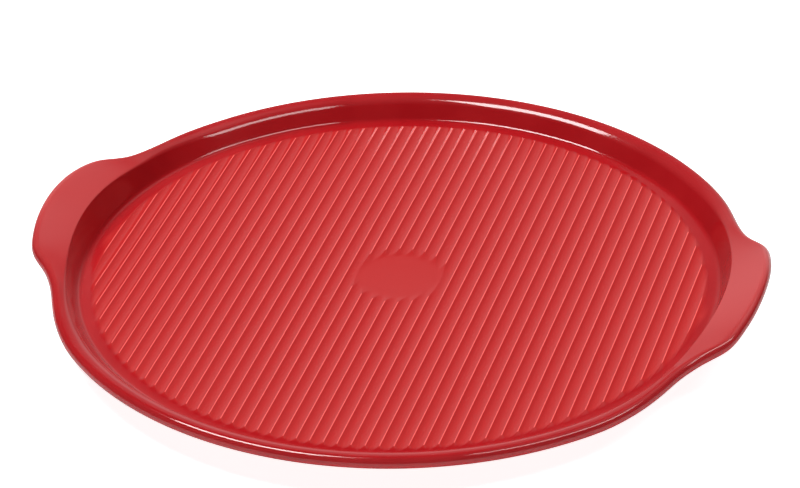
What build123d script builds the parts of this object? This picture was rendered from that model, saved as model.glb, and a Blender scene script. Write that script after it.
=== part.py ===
from build123d import *
from math import asin, atan2, cos, degrees, hypot, radians, sin, tan
import os

# Glazed pizza stone: a round ribbed baking disc with a raised rim that
# grows into two carrying handles. Z is up, X runs through the handles,
# the ribs run along Y and the origin is the middle of the foot plane.

# Floor and ribs
crest_h = 12.5
rib_relief = 0.7
rib_pitch = 6.8
rib_crest_w = 0.6
gutter_drop = 0.25
field_r = 158.0
pad_r = 24.0

# Rim, measured on its plain stretches
gutter_w = 7.8
wall_run = 9.0
rim_top_run = 4.7
cove_r = 2.0
rim_corner_h = 9.19
rim_corner_round = 8.0
lip_round = 3.29
underside_angle = 33

# Handles, measured at their middle and from the plain rim
ear_half_angle = 42
ear_reach = 9.2
ear_rise = 13.6
crease_shift = 3.8
crease_rise = 6.4
crease_round = 3.0
ear_underside_angle = 14
ear_underside_run = 12.0
ear_root_inset = 8.5
ear_root_h = 4.0

# How reach, rise and crease follow the angle from the handle's middle
ear_angle_shares = (0, 0.1, 0.19, 0.26, 0.32, 0.36, 0.405, 0.45, 0.5, 0.57,
                    0.66, 0.76, 0.86, 0.93, 1)
ear_reach_shares = (1, 0.995, 0.967, 0.913, 0.826, 0.66, 0.315, 0.0, -0.2, -0.315,
                    -0.27, -0.15, -0.06, -0.018, 0)
ear_rise_shares = (1, 0.96, 0.868, 0.76, 0.64, 0.557, 0.456, 0.368, 0.305, 0.25,
                   0.17, 0.1, 0.044, 0.014, 0)
crease_shift_shares = (1, 1, 0.99, 0.97, 0.95, 0.93, 0.9, 0.85, 0.79, 0.68,
                       0.48, 0.28, 0.12, 0.04, 0)
crease_rise_shares = (1, 0.96, 0.87, 0.76, 0.66, 0.58, 0.49, 0.4, 0.32, 0.22,
                      0.12, 0.06, 0.02, 0.005, 0)

# Underside
base_h = 2.0
base_edge_inset = 19.2
foot_inset = 3.3
foot_w = 5.5
foot_chamfer = 0.6
inner_foot_share = 0.61
core_share = 0.95

# Glaze
glaze_t = 0.4

mitre_share = tan(radians(22.5))
half_share = 0.5
third_share = 1 / 3
overrun = 3.0

wall_foot_r = field_r + gutter_w
rim_corner_r = wall_foot_r + wall_run
lip_r = rim_corner_r + rim_top_run
base_edge_r = lip_r - base_edge_inset
ear_root_r = lip_r - ear_root_inset
foot_outer_r = base_edge_r - foot_inset
foot_inner_r = foot_outer_r * inner_foot_share
core_r = field_r * core_share
rib_count = 2 * int(field_r / rib_pitch) + 1
gutter_h = crest_h - rib_relief - gutter_drop
channel_w = rib_pitch - rib_crest_w
channel_r = ((channel_w / 2) ** 2 + rib_relief ** 2) / (2 * rib_relief)
channel_axis_h = crest_h - rib_relief + channel_r
corner_h = crest_h + rim_corner_h
lip_axis_h = corner_h - lip_round


# Where two lines in the section meet, each by a point and its slope
def meet(point, slope, other, other_slope):
    dx, dy = cos(radians(slope)), sin(radians(slope))
    ex, ey = cos(radians(other_slope)), sin(radians(other_slope))
    run = ((other[0] - point[0]) * ey - (other[1] - point[1]) * ex) / (dx * ey - dy * ex)
    return (point[0] + run * dx, point[1] + run * dy)


# A point moved square to a slope, down and outwards for a positive step
def beside(point, slope, step):
    return (point[0] + step * sin(radians(slope)), point[1] - step * cos(radians(slope)))


# Outline of the rim in the sketch plane, x from the centre and y up.
# The shares are those of one station round the handle, inset is how far
# the surface lies under the glazed one.
def rim_outline(inner_r, inset, reach, rise, shift, lift):
    lip = (lip_r + ear_reach * reach, lip_axis_h + ear_rise * rise)
    crease = (rim_corner_r - crease_shift * shift, corner_h + crease_rise * lift)
    foot = (wall_foot_r, gutter_h)
    wall_slope = degrees(atan2(crease[1] - foot[1], crease[0] - foot[0]))
    away = (lip[0] - crease[0], lip[1] - crease[1])
    top_slope = degrees(atan2(away[1], away[0]) + asin(lip_round / hypot(*away)))
    under_slope = underside_angle + (ear_underside_angle - underside_angle) * rise

    foot = meet((inner_r, gutter_h - inset), 0, beside(foot, wall_slope, inset), wall_slope)
    top = beside(lip, top_slope, inset - lip_round)
    crease = meet(foot, wall_slope, top, top_slope)
    start = beside(lip, under_slope, lip_round - inset)
    end = (base_edge_r - inset * mitre_share, base_h + inset)

    span = hypot(lip_r - base_edge_r, lip_axis_h - base_h) * third_share
    run = span + (ear_underside_run - span) * rise
    near = (start[0] - run * cos(radians(under_slope)), start[1] - run * sin(radians(under_slope)))
    plain = (base_edge_r + span * cos(radians(underside_angle)),
             base_h + span * sin(radians(underside_angle)))
    root = (plain[0] + (ear_root_r - plain[0]) * rise, plain[1] + (ear_root_h - plain[1]) * rise)
    root = beside(root, under_slope, -inset)

    crease_fillet = rim_corner_round + (crease_round - rim_corner_round) * shift - inset
    turn = (180 + top_slope - under_slope) / 2
    upper = FilletPolyline((inner_r, gutter_h - inset), foot, crease, top,
                           radius=(cove_r + inset, crease_fillet))
    outer = JernArc(start=upper @ 1, tangent=(cos(radians(top_slope)), sin(radians(top_slope))),
                    radius=lip_round - inset, arc_size=-turn)
    lower = JernArc(start=outer @ 1, tangent=outer % 1, radius=lip_round - inset, arc_size=-turn)
    under = Bezier(lower @ 1, near, root, end)
    Polyline(under @ 1, (inner_r, base_h + inset), (inner_r, gutter_h - inset))


def section_plane(angle):
    across = (cos(radians(angle)), sin(radians(angle)), 0)
    return Plane(origin=(0, 0, 0), x_dir=across, z_dir=(across[1], -across[0], 0))


# One handle on +X with its stretch of rim, lofted through radial sections
def ear_form(inset):
    stations = list(zip(ear_angle_shares, ear_reach_shares, ear_rise_shares,
                        crease_shift_shares, crease_rise_shares))
    round_way = [(-s[0],) + s[1:] for s in reversed(stations[1:])] + stations
    with BuildPart() as ear:
        for share, reach, rise, shift, lift in round_way:
            with BuildSketch(section_plane(share * ear_half_angle)):
                with BuildLine():
                    rim_outline(core_r - overrun, inset, reach, rise, shift, lift)
                make_face()
        loft(ruled=True)
        Cylinder(core_r, crest_h + overrun, mode=Mode.SUBTRACT,
                 align=(Align.CENTER, Align.CENTER, Align.MIN))
    return ear.part


# One of the two plain stretches of rim between the handles, turned
def plain_rim_form(inset):
    with BuildPart() as rim:
        with BuildSketch(section_plane(ear_half_angle)):
            with BuildLine():
                rim_outline(core_r, inset, 0, 0, 0, 0)
            make_face()
        revolve(axis=Axis.Z, revolution_arc=180 - 2 * ear_half_angle)
    return rim.part


# The floor disc with the whole rim round it
def dish_form(inset):
    ear, rim = ear_form(inset), plain_rim_form(inset)
    with BuildPart() as dish:
        with BuildSketch(Plane.XY.offset(base_h + inset)):
            Circle(core_r)
        extrude(amount=gutter_h - base_h - 2 * inset)
        with PolarLocations(0, 2):
            add([ear, rim])
    return dish.part


# The round field that the ribs are cut from, between gutter and pad
def ribbed_form(inset):
    low, high = gutter_h - inset, crest_h - inset
    drop = crest_h - gutter_h
    outer = field_r - inset * mitre_share
    inner = pad_r + inset * mitre_share
    with BuildPart() as channels:
        with BuildSketch(Plane.XZ):
            with Locations((0, channel_axis_h)):
                with GridLocations(rib_pitch, 0, rib_count + 1, 1):
                    Circle(channel_r + inset)
            with Locations((0, low)):
                Rectangle(rib_pitch * (rib_count + 1), 2 * drop,
                          align=(Align.CENTER, Align.MIN), mode=Mode.INTERSECT)
        extrude(amount=field_r + overrun, both=True)
        Cylinder(field_r + overrun, crest_h + overrun, mode=Mode.INTERSECT,
                 align=(Align.CENTER, Align.CENTER, Align.MIN))
    with BuildPart() as field:
        with BuildSketch(Plane.XZ):
            with BuildLine():
                Polyline((inner, low), (outer + drop, low), (outer, high),
                         (inner + drop, high), close=True)
            make_face()
        revolve(axis=Axis.Z)
        add(channels.part, mode=Mode.SUBTRACT)
    return field.part


# Fired clay: the form under the glaze, standing on two bare foot rings
foot_top_h = base_h + glaze_t + overrun
with BuildPart() as clay_body:
    add(dish_form(glaze_t))
    add(ribbed_form(glaze_t))
    with BuildSketch(Plane.XZ):
        for ring_r in (foot_outer_r, foot_inner_r):
            with BuildLine():
                Polyline((ring_r, foot_top_h), (ring_r, foot_chamfer),
                         (ring_r - foot_chamfer, 0), (ring_r - foot_w + foot_chamfer, 0),
                         (ring_r - foot_w, foot_chamfer), (ring_r - foot_w, foot_top_h), close=True)
            make_face()
    revolve(axis=Axis.Z)
clay_body.part.label = "clay_body"

# Glaze over the floor, the ribs, the rim and handles and down to the outer foot
with BuildPart() as top_glaze:
    add(dish_form(0))
    add(ribbed_form(0))
    add(clay_body.part, mode=Mode.SUBTRACT)
    Cylinder(foot_outer_r - foot_w * half_share, foot_top_h, mode=Mode.SUBTRACT,
             align=(Align.CENTER, Align.CENTER, Align.MIN))
top_glaze.part.label = "top_glaze"

# Glaze on the underside, between the foot rings and within the inner one
with BuildPart() as base_glaze_ring:
    with BuildSketch(Plane.XY.offset(base_h)):
        Circle(foot_outer_r - foot_w)
        Circle(foot_inner_r, mode=Mode.SUBTRACT)
    extrude(amount=glaze_t)
base_glaze_ring.part.label = "base_glaze_ring"

with BuildPart() as base_glaze_centre:
    with BuildSketch(Plane.XY.offset(base_h)):
        Circle(foot_inner_r - foot_w)
    extrude(amount=glaze_t)
base_glaze_centre.part.label = "base_glaze_centre"

os.makedirs("parts", exist_ok=True)
export_step(clay_body.part, "parts/clay_body.step")
export_step(top_glaze.part, "parts/top_glaze.step")
export_step(base_glaze_ring.part, "parts/base_glaze_ring.step")
export_step(base_glaze_centre.part, "parts/base_glaze_centre.step")
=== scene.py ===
from math import asin, atan2, cos, degrees, hypot, pi, radians, sin, sqrt, tan

import bmesh
import bpy
import numpy as np
from mathutils import Matrix, Vector


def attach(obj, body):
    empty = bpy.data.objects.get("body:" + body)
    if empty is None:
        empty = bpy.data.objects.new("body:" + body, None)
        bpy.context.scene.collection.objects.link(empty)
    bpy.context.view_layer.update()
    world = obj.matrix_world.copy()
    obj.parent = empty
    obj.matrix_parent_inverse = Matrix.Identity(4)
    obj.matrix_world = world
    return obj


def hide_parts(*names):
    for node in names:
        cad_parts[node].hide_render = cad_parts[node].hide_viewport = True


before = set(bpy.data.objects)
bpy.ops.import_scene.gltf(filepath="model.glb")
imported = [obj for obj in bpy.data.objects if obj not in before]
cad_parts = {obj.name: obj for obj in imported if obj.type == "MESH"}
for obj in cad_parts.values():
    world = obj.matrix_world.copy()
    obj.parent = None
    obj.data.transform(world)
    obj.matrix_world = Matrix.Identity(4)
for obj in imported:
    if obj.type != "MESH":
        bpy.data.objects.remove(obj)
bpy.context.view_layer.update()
mm = 0.001

# Clay body: the fired refractory clay that everything else sits on. It is
# pressed in a mould in one piece, handles and ribs with it, and left bare on
# the two foot rings, where the piece stands in the kiln.


def new_material(name):
    """A material with its nodes and links, ready to be built up."""
    material = bpy.data.materials.new(name)
    material.use_nodes = True
    return material, material.node_tree.nodes, material.node_tree.links


bare_clay, nodes, links = new_material("bare_clay")
clay_shader = nodes["Principled BSDF"]
clay_shader.inputs["Roughness"].default_value = 0.85
clay_shader.inputs["IOR"].default_value = 1.45
clay_place = nodes.new("ShaderNodeTexCoord")
clay_grain = nodes.new("ShaderNodeTexNoise")
clay_grain.inputs["Scale"].default_value = 900
clay_grain.inputs["Detail"].default_value = 6
clay_tone = nodes.new("ShaderNodeTexNoise")
clay_tone.inputs["Scale"].default_value = 25
clay_tone.inputs["Detail"].default_value = 3
clay_colour = nodes.new("ShaderNodeValToRGB")
clay_colour.color_ramp.elements[0].position = 0.3
clay_colour.color_ramp.elements[0].color = (0.43, 0.31, 0.21, 1)
clay_colour.color_ramp.elements[1].position = 0.7
clay_colour.color_ramp.elements[1].color = (0.60, 0.46, 0.33, 1)
clay_specks = nodes.new("ShaderNodeTexVoronoi")
clay_specks.inputs["Scale"].default_value = 420
clay_speck_size = nodes.new("ShaderNodeMapRange")
clay_speck_size.inputs["From Min"].default_value = 0.10
clay_speck_size.inputs["From Max"].default_value = 0.16
clay_mix = nodes.new("ShaderNodeMix")
clay_mix.data_type = "RGBA"
clay_mix.inputs["A"].default_value = (0.22, 0.15, 0.10, 1)
clay_bump = nodes.new("ShaderNodeBump")
clay_bump.inputs["Strength"].default_value = 0.5
clay_bump.inputs["Distance"].default_value = 0.12 * mm
for part in (clay_grain, clay_tone, clay_specks):
    links.new(clay_place.outputs["Object"], part.inputs["Vector"])
links.new(clay_tone.outputs["Fac"], clay_colour.inputs["Fac"])
links.new(clay_specks.outputs["Distance"], clay_speck_size.inputs["Value"])
links.new(clay_speck_size.outputs["Result"], clay_mix.inputs["Factor"])
links.new(clay_colour.outputs["Color"], clay_mix.inputs["B"])
links.new(clay_mix.outputs["Result"], clay_shader.inputs["Base Color"])
links.new(clay_grain.outputs["Fac"], clay_bump.inputs["Height"])
links.new(clay_bump.outputs["Normal"], clay_shader.inputs["Normal"])

clay_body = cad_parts["clay_body"]
clay_body.data.materials.clear()
clay_body.data.materials.append(bare_clay)

# Top glaze: the red glass coat over the ribbed floor, the rim and the handles
# and down to the outer foot ring. It is poured on and fired, so it is glossy,
# thinner over sharp edges and thicker in the hollows. Its colour also carries
# painted light: lighter on the floor and the handle tops, with painted shade
# as the darker colour of the walls, gutter, lip and underside, and a painted
# reflection as a pinker mix on the handle tops.

# Sizes in mm and degrees. The floor: ribs, gutter round them, pad in the middle
crest_h, rib_relief, rib_pitch, rib_crest_w, rib_count = 12.5, 0.95, 6.8, 0.3, 47
rib_end_r, rib_end_slope, pad_end_r, pad_end_slope = 160.1, 0.3, 20.4, 0.15
floor_edge_r, rim_start_r = 160.2, 162.0
gutter_h = crest_h - rib_relief
# The rim: wall, rounded corner on top, lip and the slope under it
wall_foot_r, cove_r, pool_r = 165.8, 2.0, 3.7
rim_corner_r, rim_corner_h, rim_corner_round = 174.8, 9.19, 10.2
lip_r, lip_round, underside_angle = 179.5, 3.29, 33
corner_h = crest_h + rim_corner_h
lip_axis_h = corner_h - lip_round
# The handles: how far they change the rim, and the crease inside them
ear_half_angle, ear_reach, ear_rise = 42, 9.2, 13.6
crease_shift, crease_rise, crease_round = 3.8, 6.4, 1.0
ear_underside_angle, ear_underside_run, ear_root_r, ear_root_h = 14, 12.0, 171.0, 4.0
# The underside's edge and the coat: its thickness, and how deep the visible
# gloss lies under the hull that the solids reach
base_h, foot_outer_r, base_edge_r, base_edge_lean = 2.0, 157.0, 160.3, 0.414
glaze_t, gloss_depth = 0.4, 0.06
# Heights between which the crests of the ribs turn pale, where the coat is thin
crest_tone_start, crest_tone_full = 12.30, 12.40

# Shares round a handle, from its middle to where the plain rim begins:
# angle, reach, rise, and how far the crease has moved in and up
ear_shares = np.array((
    (0, 1, 1, 1, 1), (0.1, 0.995, 0.96, 1, 0.96), (0.19, 0.967, 0.868, 0.99, 0.87),
    (0.26, 0.913, 0.76, 0.97, 0.76), (0.32, 0.826, 0.64, 0.95, 0.66), (0.36, 0.66, 0.557, 0.93, 0.58),
    (0.405, 0.315, 0.456, 0.9, 0.49), (0.45, 0, 0.368, 0.85, 0.4), (0.5, -0.2, 0.305, 0.79, 0.32),
    (0.57, -0.315, 0.25, 0.68, 0.22), (0.66, -0.27, 0.17, 0.48, 0.12), (0.76, -0.15, 0.1, 0.28, 0.06),
    (0.86, -0.06, 0.044, 0.12, 0.02), (0.93, -0.018, 0.014, 0.04, 0.005), (1, 0, 0, 0, 0)))
ear_stations = np.vstack((ear_shares[:0:-1] * (-1, 1, 1, 1, 1), ear_shares))


def smooth_through(xs, ys, x):
    """A cubic curve through the stations, level at both ends."""
    steps, count = np.diff(xs), len(xs)
    bends, pulls = np.zeros((count, count)), np.zeros((count, ys.shape[1]))
    rates = np.diff(ys, axis=0) / steps[:, None]
    bends[0, :2], pulls[0] = (2 * steps[0], steps[0]), 6 * rates[0]
    bends[-1, -2:], pulls[-1] = (steps[-1], 2 * steps[-1]), -6 * rates[-1]
    for i in range(1, count - 1):
        bends[i, i - 1:i + 2] = steps[i - 1], 2 * (steps[i - 1] + steps[i]), steps[i]
        pulls[i] = 6 * (rates[i] - rates[i - 1])
    curve = np.linalg.solve(bends, pulls)
    i = min(max(int(np.searchsorted(xs, x)) - 1, 0), count - 2)
    a, b, h = xs[i + 1] - x, x - xs[i], steps[i]
    return (curve[i] * a ** 3 + curve[i + 1] * b ** 3) / (6 * h) \
        + (ys[i] / h - curve[i] * h / 6) * a + (ys[i + 1] / h - curve[i + 1] * h / 6) * b


def meet(p, slope, q, other):
    """Where a line through p crosses one through q."""
    dx, dy = cos(radians(slope)), sin(radians(slope))
    ex, ey = cos(radians(other)), sin(radians(other))
    run = ((q[0] - p[0]) * ey - (q[1] - p[1]) * ex) / (dx * ey - dy * ex)
    return (p[0] + run * dx, p[1] + run * dy)


def beside(p, slope, step):
    """A point moved to the right of a slope."""
    return (p[0] + step * sin(radians(slope)), p[1] - step * cos(radians(slope)))


def rounded(before, corner, after, radius, count):
    """Points of the arc that rounds a corner of the section."""
    one, two = np.subtract(before, corner), np.subtract(after, corner)
    one, two = one / hypot(*one), two / hypot(*two)
    half = np.arccos(np.clip(one @ two, -1, 1)) / 2
    inward = (one + two) / hypot(*(one + two))
    middle = np.array(corner) + inward * radius / sin(half)
    start = np.array(corner) + one * radius / tan(half) - middle
    end = np.array(corner) + two * radius / tan(half) - middle
    turn = atan2(start[0] * end[1] - start[1] * end[0], start @ end)
    points = []
    for i in range(count + 1):
        c, s = cos(turn * i / count), sin(turn * i / count)
        points.append((middle[0] + c * start[0] - s * start[1],
                       middle[1] + s * start[0] + c * start[1]))
    return points


def between(p, q, count):
    """Points on a line, without its ends."""
    return [(p[0] + (q[0] - p[0]) * i / count, p[1] + (q[1] - p[1]) * i / count)
            for i in range(1, count)]


# Steps of the rim's section over each of its parts
cove_steps, wall_steps, bend_steps, slope_steps, lip_steps, underside_steps = 6, 4, 10, 5, 18, 14


def rim_section(reach, rise, shift, lift, under):
    """The rim's section from the gutter over the lip to the foot ring, with
    how thin the glaze runs on each point; under is the depth below the hull."""
    lip = (lip_r + ear_reach * reach, lip_axis_h + ear_rise * rise)
    crease = (rim_corner_r - crease_shift * shift, corner_h + crease_rise * lift)
    foot = (wall_foot_r, gutter_h)
    wall_slope = degrees(atan2(crease[1] - foot[1], crease[0] - foot[0]))
    away = (lip[0] - crease[0], lip[1] - crease[1])
    top_slope = degrees(atan2(away[1], away[0]) + asin(lip_round / hypot(*away)))
    under_slope = underside_angle + (ear_underside_angle - underside_angle) * rise
    level = gutter_h - under
    foot = meet((0, level), 0, beside(foot, wall_slope, under), wall_slope)
    top = beside(lip, top_slope, under - lip_round)
    crease = meet(foot, wall_slope, top, top_slope)
    start = beside(lip, under_slope, lip_round - under)
    end = (base_edge_r - under * base_edge_lean, base_h + under)
    span = hypot(lip_r - base_edge_r, lip_axis_h - base_h) / 3
    run = span + (ear_underside_run - span) * rise
    near = (start[0] - run * cos(radians(under_slope)), start[1] - run * sin(radians(under_slope)))
    plain = (base_edge_r + span * cos(radians(underside_angle)),
             base_h + span * sin(radians(underside_angle)))
    root = (plain[0] + (ear_root_r - plain[0]) * rise, plain[1] + (ear_root_h - plain[1]) * rise)
    root = beside(root, under_slope, -under)

    rows = [(rim_start_r, level, 0)]
    cove = rounded((floor_edge_r, level), foot, crease,
                   pool_r if under < glaze_t else cove_r + under, cove_steps)
    bend = rounded(foot, crease, top,
                   rim_corner_round + (crease_round - rim_corner_round) * shift - under, bend_steps)
    rows += [(*p, 0) for p in cove]
    rows += [(*p, 0) for p in between(cove[-1], bend[0], wall_steps)]
    rows += [(*p, sin(pi * i / bend_steps)) for i, p in enumerate(bend)]
    rows += [(*p, 0) for p in between(bend[-1], top, slope_steps)]
    first, last, size = 90 + top_slope, under_slope - 90, lip_round - under
    for i in range(lip_steps + 1):
        angle = radians(first + (last - first) * i / lip_steps)
        rows.append((lip[0] + size * cos(angle), lip[1] + size * sin(angle), sin(pi * i / lip_steps)))
    for i in range(1, underside_steps + 1):
        t = i / underside_steps
        a, b, c, d = (1 - t) ** 3, 3 * t * (1 - t) ** 2, 3 * t * t * (1 - t), t ** 3
        rows.append((a * start[0] + b * near[0] + c * root[0] + d * end[0],
                     a * start[1] + b * near[1] + c * root[1] + d * end[1], 0))
    rows.append((foot_outer_r, base_h + under, 0))
    return rows


def round_angles():
    """Angles round the rim, close together at the handles."""
    reach = ear_half_angle + 3
    fine = list(np.linspace(-reach, reach, 2 * reach * 2, endpoint=False))
    plain = list(np.linspace(reach, 180 - reach, 64, endpoint=False))
    quarter = fine + plain
    return np.radians(quarter + [a + 180 for a in quarter])


def rib_columns():
    """Places across the ribs, closest at the crests."""
    steps = (0, 0.25, 0.5, 0.75, 1.15, 1.8, 2.6)
    columns = set()
    for k in range(-(rib_count // 2), rib_count // 2 + 1):
        for s in steps:
            columns.add(round(k * rib_pitch + s, 4))
            columns.add(round(k * rib_pitch - s, 4))
        columns.add(round((k + 0.5) * rib_pitch, 4))
    columns.add(round(-(rib_count // 2 + 0.5) * rib_pitch, 4))
    return sorted(columns)


rim_angles = round_angles()
columns = rib_columns()
field_rows = (floor_edge_r, 159.8, 159.4, 159, 158.6, 158.2, 157.8, 157.4, 157, 156.6, 156.2, 155,
              110, 30, 28, 27, 26, 25, 24, 23, 22, 21, 20, 18.5)

# Where the painted light lies, a lighter base colour for the up-facing glaze:
# on the floor inside a radius, and on the handles between two rows of the
# section, each with the width over which it fades. Elsewhere the darker colour
# stays as painted shade.
painted_light_r, painted_light_fade = 159.5, 2
ear_painted_light_row, ear_painted_light_fade, ear_painted_light_end_row, ear_painted_light_end_fade = 13, 3, 34, 4
# How strongly the handle tops are mixed towards the pale thin-glaze pink, a painted reflection.
ear_painted_sheen = 4


def glaze_sheet(mesh, under):
    """One face of the glaze, the gloss on top or the side on the clay, and
    its outer edge."""
    depth = mesh.verts.layers.float["under"]
    # The "thin" layer holds the thin glaze over the crease and the lip, and also the painted reflection
    # on the handle tops.
    thin_glaze_and_sheen = mesh.verts.layers.float["thin_glaze_and_sheen"]
    ribbed = mesh.verts.layers.float["ribbed"]
    # The "light" layer holds the painted light: how much of the lighter base colour a point gets.
    light = mesh.verts.layers.float["light"]

    def put(x, y, z, edge, floor, painted_tone):
        vert = mesh.verts.new((x * mm, y * mm, z * mm))
        vert[depth], vert[thin_glaze_and_sheen], vert[ribbed], vert[light] = under, edge, floor, painted_tone
        return vert

    rings = []
    for angle in rim_angles:
        turned = (degrees(angle) + 90) % 180 - 90
        share = turned / ear_half_angle
        shape = (0, 0, 0, 0)
        if abs(share) < 1:
            shape = smooth_through(ear_stations[:, 0], ear_stations[:, 1:], share)
        ring = []
        for j, (r, z, edge) in enumerate(rim_section(*shape, under)):
            # Handle tops: a lighter base colour as painted light, and a pinker mix as painted
            # reflection.
            ear_painted_share = shape[1] * min(max(j - ear_painted_light_row, 0) / ear_painted_light_fade, 1) \
                * min(max(ear_painted_light_end_row - j, 0) / ear_painted_light_end_fade, 1)
            ring.append(put(r * cos(angle), r * sin(angle), z, max(edge, ear_painted_sheen * ear_painted_share), 0, ear_painted_share))
        rings.append(ring)
    for ring, after in zip(rings, rings[1:] + rings[:1]):
        for j in range(len(ring) - 1):
            mesh.faces.new((ring[j], ring[j + 1], after[j + 1], after[j]))

    level = gutter_h - under
    back, front = [], []
    # The ribbed floor gets the lighter base colour as painted light, fading out before the gutter.
    painted_tones = [max(min((painted_light_r - r) / painted_light_fade, 1), 0) for r in field_rows]
    for x in columns:
        ys = [sqrt(max(r * r - x * x, 0)) for r in field_rows]
        back.append([put(x, y, level, 0, 1, painted_tone) for y, painted_tone in zip(ys, painted_tones)])
        front.append([put(x, -y, level, 0, 1, painted_tone) for y, painted_tone in zip(ys, painted_tones)])
    for i in range(len(columns) - 1):
        for j in range(len(field_rows) - 1):
            mesh.faces.new((back[i][j + 1], back[i + 1][j + 1], back[i + 1][j], back[i][j]))
            mesh.faces.new((front[i][j], front[i + 1][j], front[i + 1][j + 1], front[i][j + 1]))
        if field_rows[-1] > min(abs(columns[i]), abs(columns[i + 1])):
            mesh.faces.new((front[i][-1], front[i + 1][-1], back[i + 1][-1], back[i][-1]))

    def bearing(v):
        return atan2(v.co.y, v.co.x) % (2 * pi)

    def heading(loop, i):
        return bearing(loop[i % len(loop)]) + 2 * pi * (i // len(loop))

    edge = [side[0] for side in reversed(back)] + [back[0][-1]] \
        + [side[0] for side in front] + [front[-1][-1]]
    edge.sort(key=bearing)
    inner = sorted((ring[0] for ring in rings), key=bearing)
    i = j = 0
    while i < len(edge) or j < len(inner):
        a, b = edge[i % len(edge)], inner[j % len(inner)]
        if j == len(inner) or (i < len(edge) and heading(edge, i + 1) < heading(inner, j + 1)):
            mesh.faces.new((a, b, edge[(i + 1) % len(edge)]))
            i += 1
        else:
            mesh.faces.new((a, b, inner[(j + 1) % len(inner)]))
            j += 1
    return [ring[-1] for ring in rings]


glaze_mesh = bmesh.new()
for layer in ("under", "thin_glaze_and_sheen", "ribbed", "light"):
    glaze_mesh.verts.layers.float.new(layer)
gloss_edge = glaze_sheet(glaze_mesh, gloss_depth)
gloss_faces = len(glaze_mesh.faces)
clay_edge = glaze_sheet(glaze_mesh, glaze_t)
glaze_mesh.faces.ensure_lookup_table()
bmesh.ops.reverse_faces(glaze_mesh, faces=glaze_mesh.faces[gloss_faces:])
for i in range(len(gloss_edge)):
    j = (i + 1) % len(gloss_edge)
    glaze_mesh.faces.new((gloss_edge[i], clay_edge[i], clay_edge[j], gloss_edge[j]))
bmesh.ops.remove_doubles(glaze_mesh, verts=glaze_mesh.verts, dist=0.002 * mm)
for face in glaze_mesh.faces:
    face.smooth = True
top_data = bpy.data.meshes.new("glaze_coat")
glaze_mesh.to_mesh(top_data)
glaze_mesh.free()
top_glaze = bpy.data.objects.new("glaze_coat", top_data)
bpy.context.collection.objects.link(top_glaze)

red_glaze, nodes, links = new_material("red_glaze")
glaze_shader = nodes["Principled BSDF"]
glaze_shader.inputs["IOR"].default_value = 1.55
glaze_place = nodes.new("ShaderNodeTexCoord")
glaze_flow = nodes.new("ShaderNodeTexNoise")
glaze_flow.inputs["Scale"].default_value = 30
glaze_flow.inputs["Detail"].default_value = 4
glaze_colour = nodes.new("ShaderNodeValToRGB")
glaze_colour.color_ramp.elements[0].position = 0.35
glaze_colour.color_ramp.elements[0].color = (0.43, 0.0080, 0.0118, 1)
glaze_colour.color_ramp.elements[1].position = 0.65
glaze_colour.color_ramp.elements[1].color = (0.465, 0.0117, 0.0154, 1)
glaze_height = nodes.new("ShaderNodeSeparateXYZ")
glaze_crests = nodes.new("ShaderNodeMapRange")
glaze_crests.inputs["From Min"].default_value = crest_tone_start * mm
glaze_crests.inputs["From Max"].default_value = crest_tone_full * mm
glaze_floor = nodes.new("ShaderNodeAttribute")
glaze_floor.attribute_name = "ribbed"
glaze_on_crest = nodes.new("ShaderNodeMath")
glaze_on_crest.operation = "MULTIPLY"
# Pale pink where the glaze runs thin over the crease and the lip, and over the handle tops as a painted
# reflection.
glaze_thin_and_sheen_attr = nodes.new("ShaderNodeAttribute")
glaze_thin_and_sheen_attr.attribute_name = "thin_glaze_and_sheen"
glaze_thin_and_sheen_mix = nodes.new("ShaderNodeMix")
glaze_thin_and_sheen_mix.data_type = "RGBA"
glaze_thin_and_sheen_mix.inputs["B"].default_value = (0.75, 0.20, 0.205, 1)
glaze_thin_and_sheen_share = nodes.new("ShaderNodeMath")
glaze_thin_and_sheen_share.operation = "MULTIPLY"
glaze_thin_and_sheen_share.inputs[1].default_value = 0.06
# Painted light and shade: the lighter colour on the floor and the handle tops, the darker ramp on the
# walls, gutter, lip and underside.
glaze_painted_light = nodes.new("ShaderNodeAttribute")
glaze_painted_light.attribute_name = "light"
glaze_painted_light_tone = nodes.new("ShaderNodeMix")
glaze_painted_light_tone.data_type = "RGBA"
glaze_painted_light_tone.inputs["B"].default_value = (0.54, 0.024, 0.024, 1)
glaze_mix = nodes.new("ShaderNodeMix")
glaze_mix.data_type = "RGBA"
glaze_mix.inputs["B"].default_value = (0.95, 0.13, 0.12, 1)
glaze_dimples = nodes.new("ShaderNodeTexNoise")
glaze_dimples.inputs["Scale"].default_value = 520
glaze_dimples.inputs["Detail"].default_value = 2
glaze_bump = nodes.new("ShaderNodeBump")
glaze_bump.inputs["Strength"].default_value = 0.25
glaze_bump.inputs["Distance"].default_value = 0.05 * mm
glaze_gloss = nodes.new("ShaderNodeMapRange")
glaze_gloss.inputs["To Min"].default_value = 0.07
glaze_gloss.inputs["To Max"].default_value = 0.12
for part in (glaze_flow, glaze_dimples, glaze_height):
    links.new(glaze_place.outputs["Object"], part.inputs["Vector"])
links.new(glaze_flow.outputs["Fac"], glaze_colour.inputs["Fac"])
links.new(glaze_height.outputs["Z"], glaze_crests.inputs["Value"])
links.new(glaze_crests.outputs["Result"], glaze_on_crest.inputs[0])
links.new(glaze_floor.outputs["Fac"], glaze_on_crest.inputs[1])
links.new(glaze_thin_and_sheen_attr.outputs["Fac"], glaze_thin_and_sheen_share.inputs[0])
links.new(glaze_thin_and_sheen_share.outputs["Value"], glaze_thin_and_sheen_mix.inputs["Factor"])
links.new(glaze_on_crest.outputs["Value"], glaze_mix.inputs["Factor"])
links.new(glaze_painted_light.outputs["Fac"], glaze_painted_light_tone.inputs["Factor"])
links.new(glaze_colour.outputs["Color"], glaze_painted_light_tone.inputs["A"])
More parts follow.
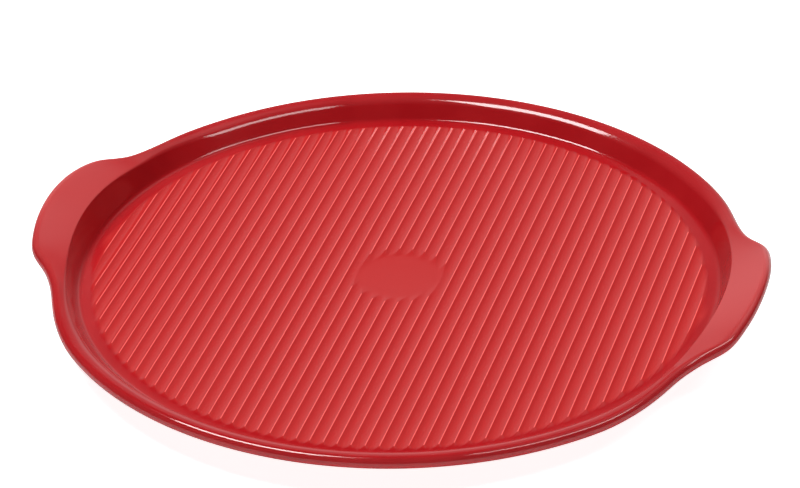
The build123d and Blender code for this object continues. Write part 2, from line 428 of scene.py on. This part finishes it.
links.new(glaze_painted_light_tone.outputs["Result"], glaze_thin_and_sheen_mix.inputs["A"])
links.new(glaze_thin_and_sheen_mix.outputs["Result"], glaze_mix.inputs["A"])
links.new(glaze_mix.outputs["Result"], glaze_shader.inputs["Base Color"])
links.new(glaze_flow.outputs["Fac"], glaze_gloss.inputs["Value"])
links.new(glaze_gloss.outputs["Result"], glaze_shader.inputs["Roughness"])
links.new(glaze_dimples.outputs["Fac"], glaze_bump.inputs["Height"])
links.new(glaze_bump.outputs["Normal"], glaze_shader.inputs["Normal"])

# The ribs are pressed into the floor by one rule across the whole field:
# scallops side by side with narrow crests between, running out into the gutter
# and into the bare round pad in the middle.
ribs = bpy.data.node_groups.new("ribbed_floor", "GeometryNodeTree")
ribs.interface.new_socket("Geometry", in_out="INPUT", socket_type="NodeSocketGeometry")
rib_sizes = {"Pitch": rib_pitch * mm, "Relief": rib_relief * mm, "Crest Width": rib_crest_w * mm,
             "Crest Height": crest_h * mm, "Gutter Height": gutter_h * mm,
             "Field Radius": rib_end_r * mm, "Field Slope": rib_end_slope,
             "Pad Radius": pad_end_r * mm, "Pad Slope": pad_end_slope,
             "Crest Rounding": 0.1 * mm, "Hollow Rounding": 0.6 * mm}
for name in rib_sizes:
    ribs.interface.new_socket(name, in_out="INPUT", socket_type="NodeSocketFloat")
ribs.interface.new_socket("Glaze", in_out="INPUT", socket_type="NodeSocketMaterial")
ribs.interface.new_socket("Geometry", in_out="OUTPUT", socket_type="NodeSocketGeometry")
given = ribs.nodes.new("NodeGroupInput")
made = ribs.nodes.new("NodeGroupOutput")


def sum_of(operation, *values):
    """One sum on heights and distances; a value is a number or a socket."""
    node = ribs.nodes.new("ShaderNodeMath")
    node.operation = operation
    for socket, value in zip(node.inputs, values):
        if isinstance(value, bpy.types.NodeSocket):
            ribs.links.new(value, socket)
        else:
            socket.default_value = value
    return node.outputs[0]


def named(name):
    """A number that each point of the sheet carries under this name."""
    node = ribs.nodes.new("GeometryNodeInputNamedAttribute")
    node.data_type = "FLOAT"
    node.inputs["Name"].default_value = name
    return node.outputs["Attribute"]


size = given.outputs
place = ribs.nodes.new("GeometryNodeInputPosition")
split = ribs.nodes.new("ShaderNodeSeparateXYZ")
ribs.links.new(place.outputs[0], split.inputs[0])
across, along = split.outputs["X"], split.outputs["Y"]
half_pitch = sum_of("MULTIPLY", size["Pitch"], 0.5)
from_crest = sum_of("PINGPONG", across, half_pitch)
from_middle = sum_of("SUBTRACT", half_pitch, from_crest)
half_channel = sum_of("MULTIPLY", sum_of("SUBTRACT", size["Pitch"], size["Crest Width"]), 0.5)
chord_sum = sum_of("ADD", sum_of("POWER", half_channel, 2.0), sum_of("POWER", size["Relief"], 2.0))
scallop_r = sum_of("DIVIDE", chord_sum, sum_of("MULTIPLY", size["Relief"], 2.0))
scallop_drop = sum_of("SUBTRACT", sum_of("POWER", scallop_r, 2.0), sum_of("POWER", from_middle, 2.0))
scallop_rise = sum_of("SUBTRACT", scallop_r, sum_of("SQRT", scallop_drop))
scallop = sum_of("ADD", sum_of("SUBTRACT", size["Crest Height"], size["Relief"]), scallop_rise)
profile = sum_of("SMOOTH_MIN", scallop, size["Crest Height"], size["Crest Rounding"])
reach = sum_of("SQRT", sum_of("ADD", sum_of("POWER", across, 2.0), sum_of("POWER", along, 2.0)))
outer_end = sum_of("SUBTRACT", size["Field Radius"], reach)
inner_end = sum_of("SUBTRACT", reach, size["Pad Radius"])
end_rise = sum_of("MINIMUM", sum_of("MULTIPLY", outer_end, size["Field Slope"]),
                  sum_of("MULTIPLY", inner_end, size["Pad Slope"]))
run_out = sum_of("ADD", end_rise, size["Gutter Height"])
ended = sum_of("SMOOTH_MIN", profile, run_out, size["Crest Rounding"])
hull_h = sum_of("SMOOTH_MAX", ended, size["Gutter Height"], size["Hollow Rounding"])
floor_h = sum_of("SUBTRACT", hull_h, sum_of("MULTIPLY", named("under"), mm))
join = ribs.nodes.new("ShaderNodeCombineXYZ")
ribs.links.new(across, join.inputs["X"])
ribs.links.new(along, join.inputs["Y"])
ribs.links.new(floor_h, join.inputs["Z"])
on_floor = ribs.nodes.new("FunctionNodeCompare")
on_floor.data_type = "FLOAT"
on_floor.operation = "GREATER_THAN"
ribs.links.new(named("ribbed"), on_floor.inputs["A"])
on_floor.inputs["B"].default_value = 0.5
press = ribs.nodes.new("GeometryNodeSetPosition")
ribs.links.new(size["Geometry"], press.inputs["Geometry"])
ribs.links.new(on_floor.outputs["Result"], press.inputs["Selection"])
ribs.links.new(join.outputs[0], press.inputs["Position"])
real = ribs.nodes.new("GeometryNodeRealizeInstances")
ribs.links.new(press.outputs["Geometry"], real.inputs["Geometry"])
coat = ribs.nodes.new("GeometryNodeSetMaterial")
ribs.links.new(real.outputs["Geometry"], coat.inputs["Geometry"])
ribs.links.new(size["Glaze"], coat.inputs["Material"])
ribs.links.new(coat.outputs["Geometry"], made.inputs["Geometry"])

pressed = top_glaze.modifiers.new("ribbed_floor", "NODES")
pressed.node_group = ribs
sockets = {s.name: s.identifier for s in ribs.interface.items_tree if s.in_out == "INPUT"}
for name, value in rib_sizes.items():
    pressed[sockets[name]] = value
pressed[sockets["Glaze"]] = red_glaze
bpy.context.view_layer.update()
ribbed_data = bpy.data.meshes.new_from_object(
    top_glaze.evaluated_get(bpy.context.evaluated_depsgraph_get()))
top_glaze.modifiers.remove(pressed)
top_glaze.data = ribbed_data
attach(top_glaze, "root")
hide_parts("top_glaze")

# Base glaze: the same red coat on the underside, a ring between the two foot
# rings and a disc within the inner one. It is wiped off the rings themselves,
# so that the piece doesn't stick to the kiln shelf.
for name in ("base_glaze_ring", "base_glaze_centre"):
    base_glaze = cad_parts[name]
    base_glaze.data.materials.clear()
    base_glaze.data.materials.append(red_glaze)

# Floor, light and camera: a pale table under two soft overhead lamps, with a
# soft fill light from behind that only lights, and the camera where the
# photograph was taken from.
far = 9
# How brightly the table shows itself to the camera, and how much it gives back
# to the piece
seen_glow, bounce_glow = 0.91, 0.65
table_data = bpy.data.meshes.new("table")
table_data.from_pydata([(-far, -far, 0), (far, -far, 0), (far, far, 0), (-far, far, 0)],
                       [], [(0, 1, 2, 3)])
table = bpy.data.objects.new("table", table_data)
bpy.context.collection.objects.link(table)
table_white, nodes, links = new_material("table_white")
table_shader = nodes["Principled BSDF"]
table_shader.inputs["Base Color"].default_value = (0.8, 0.8, 0.8, 1)
table_shader.inputs["Roughness"].default_value = 0.9
table_shader.inputs["Specular IOR Level"].default_value = 0.1
table_glow = nodes.new("ShaderNodeEmission")
table_rays = nodes.new("ShaderNodeLightPath")
table_seen = nodes.new("ShaderNodeMath")
table_seen.operation = "MULTIPLY_ADD"
table_seen.inputs[1].default_value = seen_glow
table_bounce = nodes.new("ShaderNodeMath")
table_bounce.operation = "MULTIPLY"
table_bounce.inputs[1].default_value = bounce_glow
table_sum = nodes.new("ShaderNodeAddShader")
links.new(table_rays.outputs["Is Camera Ray"], table_seen.inputs[0])
links.new(table_rays.outputs["Is Diffuse Ray"], table_bounce.inputs[0])
links.new(table_bounce.outputs["Value"], table_seen.inputs[2])
links.new(table_seen.outputs["Value"], table_glow.inputs["Strength"])
links.new(table_shader.outputs["BSDF"], table_sum.inputs[0])
links.new(table_glow.outputs["Emission"], table_sum.inputs[1])
links.new(table_sum.outputs["Shader"], nodes["Material Output"].inputs["Surface"])
table_data.materials.append(table_white)

world = bpy.data.worlds.new("studio")
bpy.context.scene.world = world
world.use_nodes = True
nodes, links = world.node_tree.nodes, world.node_tree.links
sky = nodes["Background"]
sky.inputs["Color"].default_value = (1, 1, 1, 1)
sky_place = nodes.new("ShaderNodeTexCoord")

# Pale parts of the studio that the glaze mirrors: direction, the cosines
# between which each one fades in, and strength
sky_patches = (((-0.203, 0.979, 0.0), 0.70, 0.90, 0.21), ((-0.53, 0.83, 0.17), 0.85, 0.98, 0.12),
               ((0.25, 0.55, 0.80), 0.93, 0.99, 0.40), ((0.0, 1.0, -0.05), 0.90, 0.96, 0.25))
sky_rest = 0.02
sky_sum = None
for side, start, full, strength in sky_patches:
    sky_side = nodes.new("ShaderNodeVectorMath")
    sky_side.operation = "DOT_PRODUCT"
    sky_side.inputs[1].default_value = side
    sky_patch = nodes.new("ShaderNodeMapRange")
    sky_patch.interpolation_type = "SMOOTHSTEP"
    sky_patch.inputs["From Min"].default_value = start
    sky_patch.inputs["From Max"].default_value = full
    sky_patch.inputs["To Max"].default_value = strength
    links.new(sky_place.outputs["Generated"], sky_side.inputs[0])
    links.new(sky_side.outputs["Value"], sky_patch.inputs["Value"])
    sky_add = nodes.new("ShaderNodeMath")
    sky_add.operation = "ADD"
    sky_add.inputs[1].default_value = sky_rest
    links.new(sky_patch.outputs["Result"], sky_add.inputs[0])
    if sky_sum:
        links.new(sky_sum, sky_add.inputs[1])
    sky_sum = sky_add.outputs["Value"]
links.new(sky_sum, sky.inputs["Strength"])


def softbox(name, place, along, width, height, radiance):
    """A flat rectangular lamp facing the piece, its width laid along a direction."""
    light = bpy.data.lights.new(name, "AREA")
    light.shape = "RECTANGLE"
    light.size, light.size_y = width, height
    light.energy = radiance * pi * width * height
    lamp = bpy.data.objects.new(name, light)
    bpy.context.collection.objects.link(lamp)
    back = Vector(place).normalized()
    side = (Vector(along) - back * back.dot(along)).normalized()
    turn = Matrix((side, back.cross(side), back)).transposed()
    lamp.matrix_world = Matrix.LocRotScale(Vector(place), turn, None)
    return lamp


softbox("main_softbox", (-1.2, -0.05, 3.0), (-0.93, 0.37, 0), 1.5, 1.05, 16.0)
softbox("right_softbox", (1.7, 0.0, 3.0), (0.783, 0.622, 0), 2.1, 0.7, 6.4)
back_fill = softbox("back_fill", (-0.9, 2.6, 2.0), (1, 0, 0), 1.6, 1.2, 6.8)
back_fill.visible_glossy = False

camera_data = bpy.data.cameras.new("camera")
camera_data.lens = 160.14
camera_data.sensor_width = 36
camera = bpy.data.objects.new("camera", camera_data)
bpy.context.collection.objects.link(camera)
camera.location = (0.44860, -1.50547, 0.97585)
camera.rotation_euler = (radians(58.9654), radians(1.0566), radians(15.9276))
camera_data.clip_end = 50
bpy.context.scene.camera = camera
bpy.context.scene.view_settings.view_transform = "Standard"
